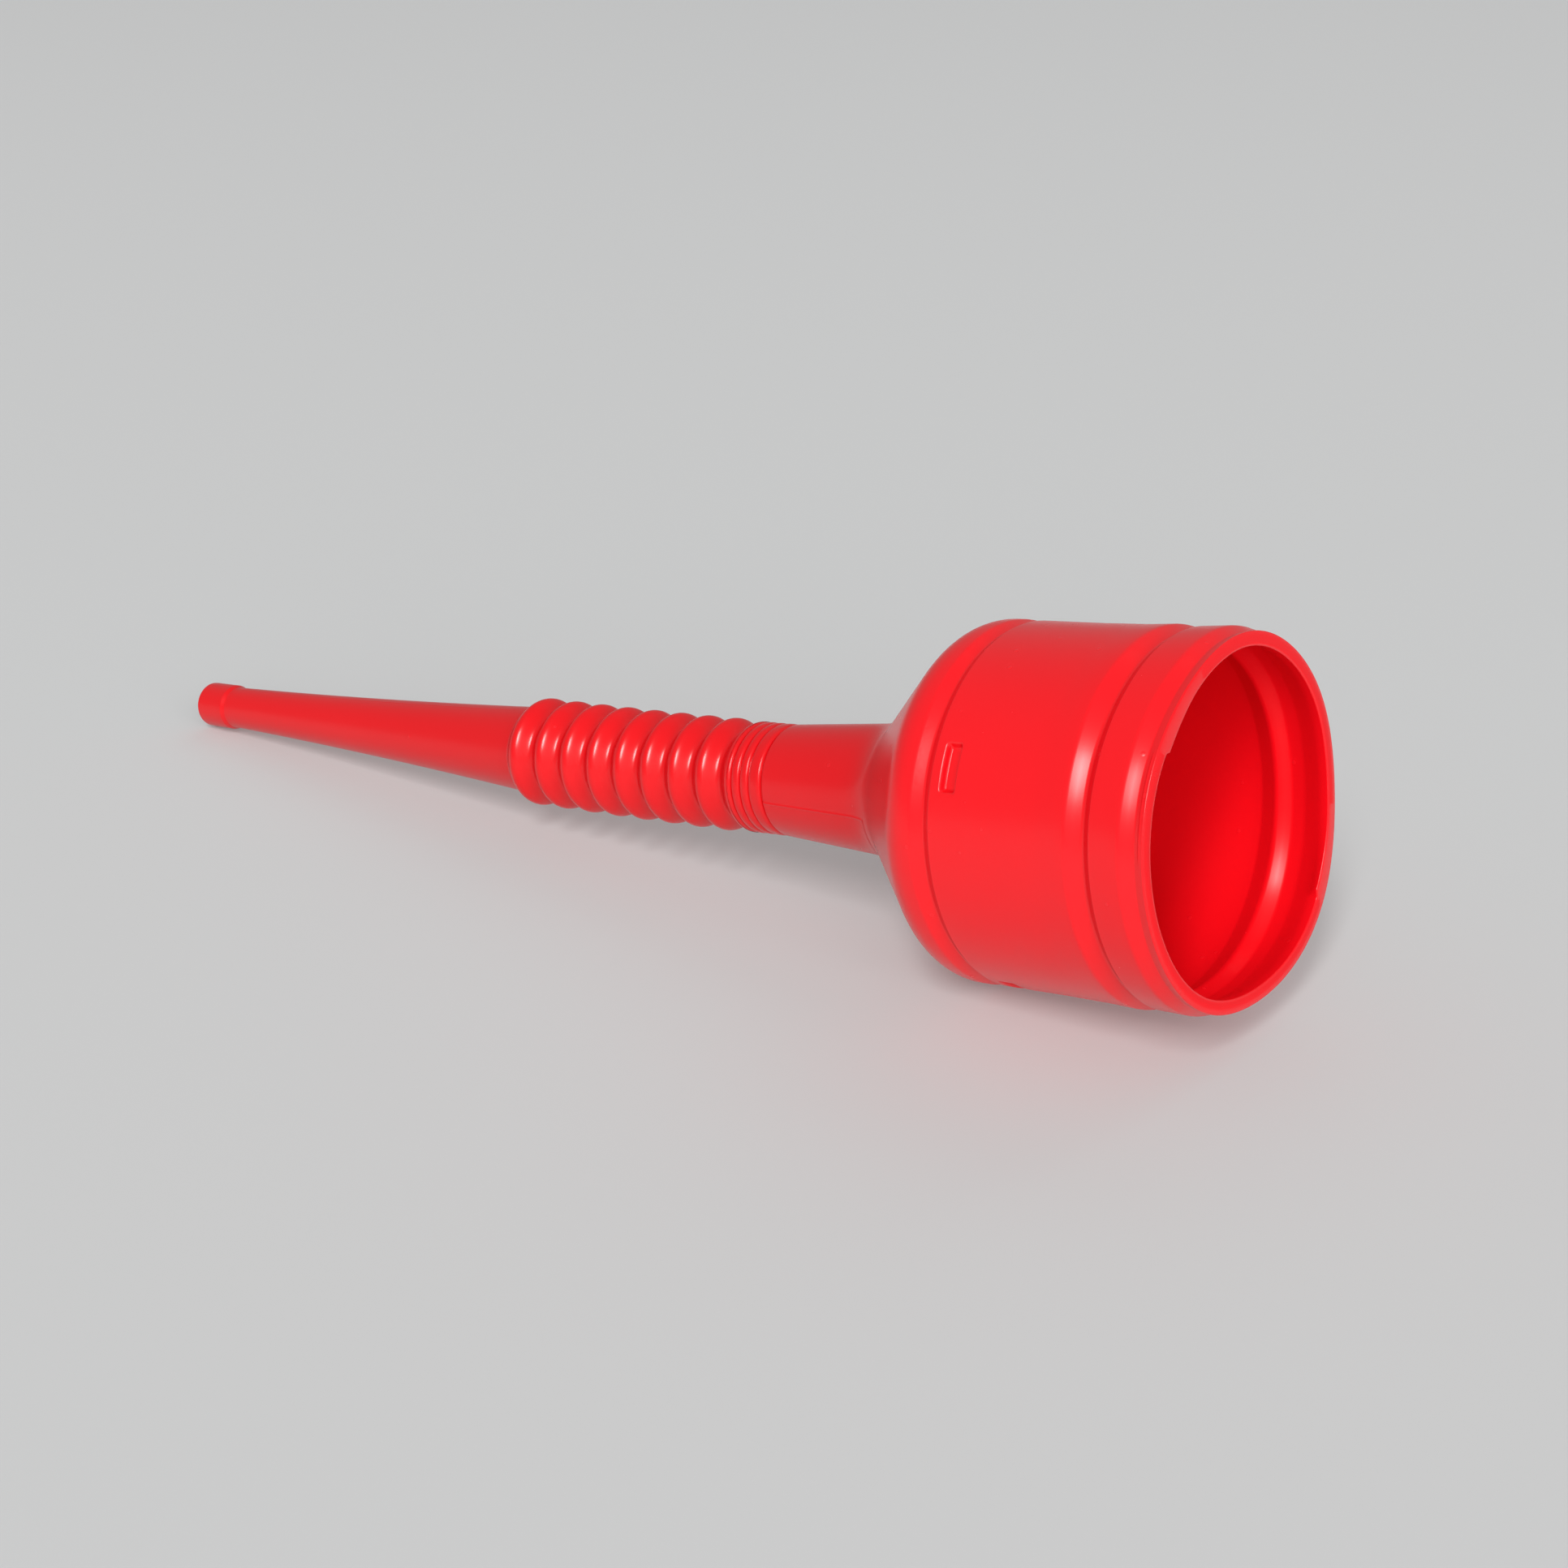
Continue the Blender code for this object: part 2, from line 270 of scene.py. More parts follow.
def finish_mesh(mesh, straight, ends=()):
    """Lays a straight mesh on the centreline. Where a shell meets the next one, at ends given as
    (place, slope), both get the same normals, so that no seam shows."""
    straight = np.asarray(straight, float)
    laid = lay(straight)
    mesh.vertices.foreach_set("co", laid.astype(np.float32).ravel())
    layer = mesh.attributes.new("straight", "FLOAT_VECTOR", "POINT")
    layer.data.foreach_set("vector", straight.astype(np.float32).ravel())
    mesh.update()
    mesh.shade_smooth()
    mesh.set_sharp_from_angle(angle=SHARP_ANGLE)
    normals = np.zeros((len(straight), 3))
    radii = np.hypot(straight[:, 0], straight[:, 1])
    for place, slope in ends:
        ring = np.abs(straight[:, 2] - place) < 1e-6
        outside = radii > radii[ring].mean()
        away = straight * (1, 1, 0) / radii[:, None]
        normal = (away - slope * np.array((0, 0, 1.0))) * np.where(outside, 1.0, -1.0)[:, None]
        tip = lay(straight + normal * MM) - laid
        tip /= np.linalg.norm(tip, axis=1)[:, None]
        normals[ring] = tip[ring]
    if len(ends):
        mesh.normals_split_custom_set_from_vertices(normals.tolist())
    return mesh


def turned_shell(name, outer, inner, angles, shape=None, ends=()):
    """A closed shell between two outlines of (place, radius), both mouth end first."""
    loop = np.array(outer + inner[::-1])
    is_inner = np.arange(len(loop)) >= len(outer)
    angles = np.asarray(angles)
    rings, sides = len(loop), len(angles)
    place = np.repeat(loop[:, 0], sides)
    radius = np.repeat(loop[:, 1], sides)
    angle = np.tile(angles, rings)
    if shape:
        place, radius = shape(place, radius, angle, np.repeat(is_inner, sides))
    straight = np.c_[radius * np.cos(angle), radius * np.sin(angle), place]
    faces = []
    for i in range(rings):
        a, b = i * sides, (i + 1) % rings * sides
        faces += [(a + k, a + (k + 1) % sides, b + (k + 1) % sides, b + k) for k in range(sides)]
    mesh = bpy.data.meshes.new(name)
    mesh.from_pydata(straight.tolist(), [], faces)
    finish_mesh(mesh, straight, ends)
    return mesh


def slope_at(outline, place):
    """The outline's slope at a place, from the points on both sides of it."""
    places = [point[0] for point in outline]
    k = min(max(bisect.bisect(places, place), 1), len(outline) - 2)
    (s0, r0), (s1, r1) = outline[k - 1], outline[k + 1]
    return (r1 - r0) / (s1 - s0)


def radius_at(outline, place):
    """The outline's radius at a place."""
    return float(np.interp(place, [p[0] for p in outline], [p[1] for p in outline]))


def stretch(outline, start, end):
    """The part of an outline from start to end, with its own points at both."""
    inside = [p for p in outline if start + 1e-5 < p[0] < end - 1e-5]
    return [(start, radius_at(outline, start))] + inside + [(end, radius_at(outline, end))]


print("shells can be turned")

# %% [markdown]
# ## The red polyethylene
#
# Blow-moulded polyethylene is dyed right through, so it has no grain and no coat. What tells it from a plain
# red is in its skin: the wall is faintly wavy where it froze in patches, it has a fine orange peel from the
# sand-blasted mould, it shrank into tiny wrinkles beside the thick shoulder, and it carries a few pimples
# and rubbed spots. Waves, peel, pimples and wrinkles go into a Bump node as real heights in metres. The
# colour drifts only a little, and it is paler on rubbed spots and pimples. Behind the bowl, the neck and the
# spout are painted deeper red: this is painted shade, because they get less light than the bowl. The nozzle
# came out of the mould duller than the rest, so roughness goes up there.

# %% Settings of the plastic, in metres, and patches per metre
RED = (0.80, 0.0032, 0.0085)
PALE_RED = (0.90, 0.0150, 0.0240)
DARK_RED = (0.62, 0.0012, 0.0040)
BOWL_GLOSS = 0.27
SPOUT_GLOSS = 0.25
NOZZLE_DULLNESS = 0.08
# Painted shade: along this stretch of the axis the colour ramps to a deeper red for the neck and spout.
SHADE_BEHIND_BOWL_RAMP = (0.100, 0.134)
NOZZLE_BEGINS = (0.2990, 0.3035)
WRINKLES_RISE = (0.0815, 0.0840)
WRINKLES_FADE = (0.0905, 0.0865)
DRIFT_PATCHES = 16.0
# The middle number sets how deep the painted shade behind the bowl is. Drift is random tone.
DRIFT_DEEPENS, SHADE_BEHIND_BOWL_DEEPENS, NOZZLE_DEEPENS = 0.12, 0.6, 0.15
RUBBED_PATCHES = 40.0
RUBBED_PALES, PIMPLE_PALES = 0.03, 0.2
WAVES, WAVE_HEIGHT = 38.0, 0.00006
PEEL, PEEL_HEIGHT = 520.0, 0.0000012
PIMPLES, PIMPLE_HEIGHT = 95.0, 0.00006
PIMPLE_SIZE = (0.085, 0.02)
PIMPLE_DULLNESS = 0.06
WRINKLES, WRINKLE_HEIGHT = 620.0, 0.000035
WRINKLE_STRETCH = (1.0, 1.0, 0.45)
PLASTIC_IOR = 1.51


def moulded_plastic(name, gloss, wrinkles=False):
    """Glossy red polyethylene. Behind the bowl it is painted deeper red as painted shade, because the neck and
    spout get less light. It is a little duller on the nozzle. Wrinkles adds the shoulder's shrink marks."""
    material = bpy.data.materials.new(name)
    material.use_nodes = True
    tree = material.node_tree
    shader = tree.nodes["Principled BSDF"]
    make = Wire(tree)
    skin = make.add("ShaderNodeAttribute", {"attribute_name": "straight"}, output="Vector")

    def noise(scale, detail=0.0, where=skin):
        sizes = {"Vector": where, "Scale": scale, "Detail": detail, "Roughness": 0.5}
        return make.add("ShaderNodeTexNoise", {}, sizes)

    def mixed(share, first, second):
        """Colour first, turning into second as share goes from 0 to 1."""
        settings = {"data_type": "RGBA", "blend_type": "MIX"}
        return make.add("ShaderNodeMix", settings, {0: share, 6: first, 7: second}, 2)

    place = make.add("ShaderNodeSeparateXYZ", {}, {"Vector": skin}, "Z")
    # Painted shade: from the cone on, the neck and spout are painted deeper red because they get less light.
    shade_behind_bowl = place.between(*SHADE_BEHIND_BOWL_RAMP)
    dull = place.between(*NOZZLE_BEGINS)
    drift = noise(DRIFT_PATCHES).between(0.15, 0.85)
    rubbed = noise(RUBBED_PATCHES, 1.0).between(0.45, 0.90)
    cells = {"Vector": skin, "Scale": PIMPLES, "Randomness": 1.0}
    spots = make.add("ShaderNodeTexVoronoi", {"feature": "F1"}, cells)
    pimple = spots.between(*PIMPLE_SIZE)

    # Deep mixes random drift, the painted shade behind the bowl, and the nozzle's deeper tone.
    deep = drift * DRIFT_DEEPENS + shade_behind_bowl * SHADE_BEHIND_BOWL_DEEPENS + dull * NOZZLE_DEEPENS
    pale = rubbed * RUBBED_PALES + pimple * PIMPLE_PALES
    body = mixed(deep, RED + (1,), DARK_RED + (1,))
    colour = mixed(pale, body, PALE_RED + (1,))

    height = noise(WAVES) * WAVE_HEIGHT + noise(PEEL) * PEEL_HEIGHT + pimple * PIMPLE_HEIGHT
    if wrinkles:
        crease = make.add("ShaderNodeMapping", {}, {"Vector": skin, "Scale": WRINKLE_STRETCH})
        band = place.between(*WRINKLES_RISE) * place.between(*WRINKLES_FADE)
        height = height + band * noise(WRINKLES, 2.0, crease) * WRINKLE_HEIGHT
    bump = make.add("ShaderNodeBump", {}, {"Height": height, "Strength": 1.0, "Distance": 1.0})

    roughness = gloss + dull * NOZZLE_DULLNESS + pimple * PIMPLE_DULLNESS
    tree.links.new(colour.socket, shader.inputs["Base Color"])
    tree.links.new(roughness.socket, shader.inputs["Roughness"])
    tree.links.new(bump.socket, shader.inputs["Normal"])
    shader.inputs["IOR"].default_value = PLASTIC_IOR
    shader.inputs["Specular IOR Level"].default_value = 0.5
    return material


BOWL_PLASTIC = moulded_plastic("bowl_red", BOWL_GLOSS, wrinkles=True)
SPOUT_PLASTIC = moulded_plastic("spout_red", SPOUT_GLOSS)
NOZZLE_PLASTIC = moulded_plastic("nozzle_red", SPOUT_GLOSS)
print("plastics:", BOWL_PLASTIC.name, SPOUT_PLASTIC.name, NOZZLE_PLASTIC.name)


# %% Put a shell in the scene
def add_piece(name, mesh, plastic, nodes):
    """Makes an object of a laid mesh, gives it its plastic and hides the CAD nodes it stands for."""
    piece = bpy.data.objects.new(name, mesh)
    bpy.context.scene.collection.objects.link(piece)
    mesh.materials.clear()
    mesh.materials.append(plastic)
    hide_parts(*nodes)
    print(f"{name}: {len(mesh.polygons)} faces, {len(mesh.vertices)} points")
    return piece


# %% [markdown]
# ## The bowl
#
# The bowl was cut open with a knife at its mouth, which leaves a flat, thick rim. Behind the lip come a
# rounded bead, a groove with one crisp edge, a second bead, a nearly straight wall, the crisp groove and
# the round bead of the shoulder, and the cone. Lathe outlines give all of that. The neck belongs to
# the same outline and is cut off where the CAD model cuts it.

# %% Outlines of the bowl and neck, in millimetres
NECK_START = 131.0
COLLAR_START = 178.4
outer_corners = [
    (0.0, 57.0, 0.0),
    (0.0, 60.6, 0.45),
    (3.4, 59.7, 0.8),
    (8.0, 61.7, 3.2),
    (18.6, 60.9, 0.5),
    (21.8, 58.5, 1.6),
    (27.4, 61.15, 3.4),
    (38.0, 60.5, 60.0),
    (55.0, 60.1, 60.0),
    (77.9, 59.9, 0.4),
    (80.9, 58.1, 1.2),
    (85.2, 60.05, 3.4),
    (93.2, 60.05, 13.0),
    (130.9, 23.0, 22.0),
    (COLLAR_START - 1.2, 19.55, 0.35),
    (COLLAR_START - 0.3, 18.6, 0.2),
    (COLLAR_START, 18.6, 0.0),
]
inner_corners = [
    (0.0, 57.0, 0.0),
    (0.0, 55.7, 0.5),
    (3.0, 55.8, 9.0),
    (10.0, 58.2, 6.0),
    (14.8, 58.2, 3.2),
    (20.2, 55.8, 2.8),
    (26.8, 58.3, 3.6),
    (74.0, 57.5, 3.0),
    (80.4, 55.7, 2.2),
    (85.4, 57.5, 3.0),
    (91.4, 57.5, 12.0),
    (129.6, 20.9, 20.0),
    (COLLAR_START - 1.0, 17.6, 1.0),
    (COLLAR_START, 17.6, 0.0),
]
DENT_ZONE = (67.0, 76.2, 0.4)
LIP_ZONE = (0.4, 2.8, 0.3)
bowl_outer = divided(rounded(outer_corners), [DENT_ZONE, LIP_ZONE])
bowl_inner = divided(rounded(inner_corners), [DENT_ZONE])
print("outline points:", len(bowl_outer), "outside,", len(bowl_inner), "inside")

# %% [markdown]
# ## Out of round, kinks and snap dents
#
# Four things break the bowl's symmetry. As it cooled, its mouth went a little flat on three sides, which
# fades out along the wall. The knife left the rim's inner edge with two small kinks, opposite each other, and
# a thread of flash stands on the lip's near side. And four dents, a quarter apart, are pressed in just in
# front of the shoulder groove: inside they stand out as bumps, behind which a strainer disc could be
# snapped. All of this is a rule that moves points in or out. Flats and dents move both walls, so the
# wall keeps its thickness.

# %% How far each point of the bowl moves
# Angles and TURNS are in degrees: 0 is the top, and -90 is the camera's side.
# A flat is (middle, half width, depth in mm), a kink (place, side), and the flash (start, end, place).
MOUTH_FLATS = [(96, 58, 2.5), (180, 66, 2.4), (-28, 68, 2.4)]
FLATS_FADE = 34 * MM
RIM_KINKS = [(-49.7, -1), (130.9, 1)]
KINK_DEPTH = 1.5 * MM
KINK_REACH = 5 * MM
KINK_STEP_TURN = 1.6
KINK_FADE_TURN = 30
DENT_TURN = -61.9
DENT_AT = 71.6 * MM
DENT_DEPTH = 2.3 * MM
DENT_HALF_LENGTH = 3.1 * MM
DENT_HALF_WIDTH = 7.9
DENT_SLOPE = 1.3 * MM
DENT_SLOPE_TURN = 1.5
DENT_EDGE_TURN = 1.5
FLASH = (-86, -50, 1.5 * MM)
FLASH_HEIGHT = 0.22 * MM
FLASH_HALF_WIDTH = 0.28 * MM
FLASH_FADE_TURN = 4


def turn_from(angle, centre):
    """Degrees from centre to angle, the short way round."""
    return (np.degrees(angle) - centre + 180) % 360 - 180


def bowl_shape(place, radius, angle, inner):
    """Mouth flats, rim kinks, snap dents and a line of flash on the lip."""
    move = np.zeros_like(radius)
    fade = 1 - smooth(place / FLATS_FADE)
    for centre, half_width, depth in MOUTH_FLATS:
        off = np.clip(turn_from(angle, centre) / half_width, -1, 1)
        move -= depth * MM * np.cos(off * math.pi / 2) ** 4 * fade
    near_rim = (1 - smooth(place / KINK_REACH)) * inner
    for centre, towards in RIM_KINKS:
        off = turn_from(angle, centre) * -towards
        step = smooth(off / KINK_STEP_TURN + 0.5) * (1 - smooth(off / KINK_FADE_TURN))
        move -= KINK_DEPTH * step * near_rim
    quarter = (np.degrees(angle) - DENT_TURN + 45) % 90 - 45
    across = smooth((DENT_HALF_WIDTH - np.abs(quarter)) / DENT_SLOPE_TURN)
    along = smooth((DENT_HALF_LENGTH - np.abs(place - DENT_AT)) / DENT_SLOPE)
    move -= DENT_DEPTH * across * along
    start, end, line = FLASH
    middle, half = (start + end) / 2, (end - start) / 2
    beside = smooth((half - np.abs(turn_from(angle, middle))) / FLASH_FADE_TURN)
    thread = np.exp(-(((place - line) / FLASH_HALF_WIDTH) ** 2))
    move += FLASH_HEIGHT * beside * thread * ~inner
    return place, radius + move


def bowl_angles():
    """Angles all round, a degree apart, and closer along the dents' edges."""
    angles = []
    for k in range(360):
        off_edge = abs(abs((k - DENT_TURN + 45) % 90 - 45) - DENT_HALF_WIDTH + DENT_SLOPE_TURN / 2)
        angles += [k, k + 0.5] if off_edge < DENT_EDGE_TURN else [k]
    return np.radians(angles)


print("the bowl takes", len(bowl_angles()), "points a turn")


# %% Turn the bowl
bowl_cut = NECK_START * MM
bowl_end = (bowl_cut, slope_at(bowl_outer, bowl_cut))
bowl_mesh = turned_shell(
    "bowl_shell",
    stretch(bowl_outer, 0.0, bowl_cut),
    stretch(bowl_inner, 0.0, bowl_cut),
    bowl_angles(),
    bowl_shape,
    [bowl_end],
)
bowl = add_piece("bowl_shell", bowl_mesh, BOWL_PLASTIC, ["bowl"])
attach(bowl, "bowl")

# %% [markdown]
# ## The neck
#
# The two halves of the mould met along the neck, low on its near side, and left a parting line: a raised
# thread a quarter of a millimetre high that runs from the flare into the collar's groove. The halves were
# also slightly out of step, so the skin below the line stands a hair higher than the skin above it.

# %% Turn the neck
PARTING_TURN = -97
PARTING_HEIGHT = 0.26 * MM
PARTING_HALF_WIDTH = 0.9
PARTING_STEP = 0.24 * MM
STEP_TURN = 1.8
STEP_FADE = (12, 38)
THREAD_START = 118 * MM
THREAD_RISE = 14 * MM
THREAD_RUN_OUT = 0.6 * MM
NECK_SIDES = 144
CLOSE_TURN = 5
CLOSE_STEP = 0.4


def neck_shape(place, radius, angle, inner):
    """A thread of plastic and a small step along the parting line."""
    off = turn_from(angle, PARTING_TURN)
    thread = np.exp(-((off / PARTING_HALF_WIDTH) ** 2)) * PARTING_HEIGHT
    near = 1 - smooth((np.abs(off) - STEP_FADE[0]) / STEP_FADE[1])
    step = PARTING_STEP * (smooth(0.5 - off / STEP_TURN) - 0.5) * near
    fade = smooth((place - THREAD_START) / THREAD_RISE) * ~inner
    fade = fade * smooth((COLLAR_START * MM - place) / THREAD_RUN_OUT)
    return place, radius + (thread + step) * fade


def ring_angles(line, count):
    """Evenly spaced angles, and closer ones for CLOSE_TURN degrees on both sides of a line."""
    angles = [360 * k / count for k in range(count)]
    angles = [a for a in angles if abs(turn_from(math.radians(a), line)) > CLOSE_TURN]
    reach = int(CLOSE_TURN / CLOSE_STEP)
    angles += [line + CLOSE_STEP * k for k in range(-reach, reach + 1)]
    return np.radians(sorted(a % 360 for a in angles))


neck_mesh = turned_shell(
    "neck_tube",
    stretch(bowl_outer, bowl_cut, COLLAR_START * MM),
    stretch(bowl_inner, bowl_cut, COLLAR_START * MM),
    ring_angles(PARTING_TURN, NECK_SIDES),
    neck_shape,
    [bowl_end],
)
neck = add_piece("neck_tube", neck_mesh, BOWL_PLASTIC, ["neck"])
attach(neck, "bowl")

# %% [markdown]
# ## Ribs and corrugations by rule
#
# The collar's ribs and the bellows repeat, so Geometry Nodes make them. One helper builds a tree that rolls
# a grid up into a closed shell: along the grid's first side a point goes down the outer wall and back up the
# inner one, and along its second side it goes round. What differs between the trees is only the rule
# that turns a place into a radius, which is written as a formula on Wires.

# %% A tree that rolls a grid into a shell
def shell_tree(name, inputs, rule):
    """A Geometry Nodes tree with named inputs. Rule takes a Wire for the place and a dict of the inputs."""
    tree = bpy.data.node_groups.new(name, "GeometryNodeTree")
    everything = {"Start": 0.0, "Length": 0.01, "Wall": 0.0012} | inputs
    for label, value in everything.items():
        socket = tree.interface.new_socket(label, in_out="INPUT", socket_type="NodeSocketFloat")
        socket.default_value = value
    for label, value in {"Rings": 64, "Sides": 96}.items():
        socket = tree.interface.new_socket(label, in_out="INPUT", socket_type="NodeSocketInt")
        socket.default_value = value
    tree.interface.new_socket("Plastic", in_out="INPUT", socket_type="NodeSocketMaterial")
    tree.interface.new_socket("Shell", in_out="OUTPUT", socket_type="NodeSocketGeometry")
    given = tree.nodes.new("NodeGroupInput")
    take = {socket.name: Wire(tree, socket) for socket in given.outputs if socket.name}
    make = Wire(tree)

    columns = take["Rings"] * 2.0 + 1.0
    rows = take["Sides"] + 1.0
    sheet = {"Vertices X": columns, "Vertices Y": rows}
    grid = make.add("GeometryNodeMeshGrid", {}, sheet)
    index = make.add("GeometryNodeInputIndex")
    step = (index / rows).maths("FLOOR", index / rows + 0.0001)
    around = (index - step * rows) / take["Sides"] * (2 * math.pi)
    step = step.maths("FLOORED_MODULO", step, columns - 1.0)
    is_inner = step.maths("GREATER_THAN", step, take["Rings"] - 0.5)
    share = is_inner * (columns - 2.0) + step * (1.0 - 2.0 * is_inner)
    place = take["Start"] + take["Length"] * (share / (take["Rings"] - 1.0))
    radius = rule(place, take) - take["Wall"] * is_inner
    x = radius * around.maths("COSINE", around)
    y = radius * around.maths("SINE", around)
    spot = make.add("ShaderNodeCombineXYZ", {}, {0: x, 1: y, 2: place})
    moved = make.add("GeometryNodeSetPosition", {}, {"Geometry": grid, "Position": spot})
    closed = make.add("GeometryNodeMergeByDistance", {}, {"Geometry": moved, "Distance": 1e-6})
    outwards = make.add("GeometryNodeFlipFaces", {}, {"Mesh": closed})
    real = make.add("GeometryNodeRealizeInstances", {}, {"Geometry": outwards})
    done = make.add(
        "GeometryNodeSetMaterial", {}, {"Geometry": real, "Material": take["Plastic"]}
    )
    tree.links.new(done.socket, tree.nodes.new("NodeGroupOutput").inputs[0])
    return tree


def grown_shell(name, tree, plastic, ends, **sizes):
    """Evaluates a tree with the given sizes and returns a plain, laid mesh."""
    grower = bpy.data.objects.new(name + "_grower", bpy.data.meshes.new(name + "_seed"))
    bpy.context.scene.collection.objects.link(grower)
    modifier = grower.modifiers.new("shell", "NODES")
    modifier.node_group = tree
    for item in tree.interface.items_tree:
        if item.name in sizes:
            modifier[item.identifier] = sizes[item.name]
        elif item.name == "Plastic":
            modifier[item.identifier] = plastic
    depsgraph = bpy.context.evaluated_depsgraph_get()
    mesh = bpy.data.meshes.new_from_object(grower.evaluated_get(depsgraph), depsgraph=depsgraph)
    bpy.data.objects.remove(grower)
    mesh.name = name
    straight = np.zeros(len(mesh.vertices) * 3, np.float32)
    mesh.vertices.foreach_get("co", straight)
    return finish_mesh(mesh, straight.reshape(-1, 3), ends)


print("trees can be grown")

# %% [markdown]
# ## The collar
#
# Behind the neck is a plain band and two narrow ribs, divided by grooves like scored lines. A groove that
# sinks as an exponential of the distance from its middle has just that look: a hard dark line between
# softly rounded shoulders.

# %% The collar's tree and shell
RIB_GROOVES = 3
FIRST_GROOVE = 183.9 * MM
GROOVE_PITCH = 3.85 * MM
COLLAR_END = FIRST_HINGE - PITCH / 2
COLLAR_RADIUS = 19.55 * MM
COLLAR_WALL = 1.9 * MM
COLLAR_RINGS = 140
SPOUT_WALL = 1.2 * MM
SPOUT_SIDES = 128


def grooved(place, take):
    """A cylinder with evenly spaced, sharp-bottomed grooves."""
    groove = (place - take["First groove"]) / take["Groove pitch"]
    nearest = groove.maths("ROUND", groove)
    nearest = nearest.maths("MINIMUM", nearest.maths("MAXIMUM", nearest, 0.0), take["Grooves"] - 1.0)
    distance = groove.maths("ABSOLUTE", groove - nearest) * take["Groove pitch"]
    sink = groove.maths("EXPONENT", -distance / take["Groove width"])
    edge = groove.maths("EXPONENT", (take["Start"] - place) / take["Groove width"])
    return take["Radius"] - take["Groove depth"] * (sink + edge)


collar_tree = shell_tree(
    "ribbed_collar",
    {
        "Radius": COLLAR_RADIUS,
        "Grooves": RIB_GROOVES,
        "First groove": FIRST_GROOVE,
        "Groove pitch": GROOVE_PITCH,
        "Groove depth": 1.25 * MM,
        "Groove width": 0.5 * MM,
    },
    grooved,
)
collar_start = COLLAR_START * MM
collar_mesh = grown_shell(
    "collar_ribs",
    collar_tree,
    SPOUT_PLASTIC,
    [(COLLAR_END, 0.0)],
    Start=collar_start,
    Length=COLLAR_END - collar_start,
    Wall=COLLAR_WALL,
    Rings=COLLAR_RINGS,
    Sides=SPOUT_SIDES,
)
collar = add_piece("collar_ribs", collar_mesh, SPOUT_PLASTIC, ["collar"])
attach(collar, "bowl")

# %% [markdown]
# ## The bellows
#
# Nine folds join eight round crests. Cutting the bellows at the tops of its crests leaves each fold whole: a
# shell that runs from one crest, down through the thin valley where the plastic flexes, and up to the next
# crest. It stands for one fold of the CAD model and the ring after it. The curve comes from a cosine: with no
# softness its valleys would be sharp creases, and with the softness below they are as round as the crests.
# The last fold runs straight out into the nozzle.

# %% The bellows' tree
CREST_RADIUS = 20.0 * MM
VALLEY_RADIUS = 15.9 * MM
VALLEY_SOFTNESS = 1.1
NOZZLE_JOIN = FIRST_HINGE + (FOLDS - 0.5) * PITCH


def corrugated(place, take):
    """A valley between two crests, which may differ in height."""
    share = (place - take["Start"]) / take["Length"]
    wave = share.maths("COSINE", share * math.pi)
    soft = take["Softness"]
    root = wave.maths("SQRT", wave * wave + soft * soft)
    top = wave.maths("SQRT", soft * soft + 1.0)
    rise = (root - soft) / (top - soft)
    later = share.maths("GREATER_THAN", share, 0.5)
    straight = later * take["Straight after"]
    rise = rise * (1.0 - straight) + (share * 2.0 - 1.0) * straight
    crest = take["Crest before"] * (1.0 - later) + take["Crest after"] * later
    return take["Valley"] + (crest - take["Valley"]) * rise


bellows_tree = shell_tree(
    "bellows_fold",
    {
        "Crest before": CREST_RADIUS,
        "Crest after": CREST_RADIUS,
        "Valley": VALLEY_RADIUS,
        "Softness": VALLEY_SOFTNESS,
        "Straight after": 0.0,
    },
    corrugated,
)
print(f"the bellows' tree has {len(bellows_tree.nodes)} nodes; the nozzle joins at {NOZZLE_JOIN / MM:.1f} mm")

# %% [markdown]
# ## The nozzle
#
# The nozzle is a long cone whose sides hollow slightly towards its root, and a short thicker end that
# stops it against the filler neck's flap. Its radius is the CAD model's own formula, so that the two agree
# all along. A faint parting line runs along its top.

# %% The nozzle's outline
NOZZLE_ROOT_RADIUS = 16.0
NOZZLE_END_RADIUS = 8.2
NOZZLE_START = 304.18
NOZZLE_END = 469.0
NOZZLE_FLARE = 0.39
CONE_END = NOZZLE_END - 3.0
TIP_RADIUS = 9.0
TIP_END = 485.6
NOZZLE_WALL = 1.5


def nozzle_radius(place):
    """The cone's outer radius, in millimetres."""
    share = (NOZZLE_END - place) / (NOZZLE_END - NOZZLE_START)
    growth = (1 - NOZZLE_FLARE) * share + NOZZLE_FLARE * share**2
    return NOZZLE_END_RADIUS + (NOZZLE_ROOT_RADIUS - NOZZLE_END_RADIUS) * growth


cone_places = np.linspace(NOZZLE_JOIN / MM, CONE_END, 60)
nozzle_outer = [(s * MM, nozzle_radius(s) * MM) for s in cone_places]
nozzle_inner = [(s, r - NOZZLE_WALL * MM) for s, r in nozzle_outer]
tip_corners = [
    (CONE_END, nozzle_radius(CONE_END), 0.0),
    (NOZZLE_END + 0.2, NOZZLE_END_RADIUS + 0.05, 1.2),
    (NOZZLE_END + 1.9, TIP_RADIUS, 0.9),
    (TIP_END, TIP_RADIUS - 0.15, 1.6),
    (TIP_END, 7.6, 0.0),
]
tip_inner_corners = [
    (CONE_END, nozzle_radius(CONE_END) - NOZZLE_WALL, 0.0),
    (NOZZLE_END, 6.75, 3.0),
    (TIP_END, 6.8, 0.4),
    (TIP_END, 7.6, 0.0),
]
tip_outer = divided(rounded(tip_corners))
tip_inner = divided(rounded(tip_inner_corners))
print(f"nozzle from {NOZZLE_JOIN / MM:.1f} to {TIP_END} mm")

# %% Turn the nozzle and its end
NOZZLE_PARTING_TURN = -8
NOZZLE_PARTING_HALF_WIDTH = 1.3
NOZZLE_PARTING_HEIGHT = 0.06 * MM


def nozzle_shape(place, radius, angle, inner):
    """A faint raised line along the top."""
    off = turn_from(angle, NOZZLE_PARTING_TURN) / NOZZLE_PARTING_HALF_WIDTH
    return place, radius + np.exp(-(off**2)) * NOZZLE_PARTING_HEIGHT * ~inner


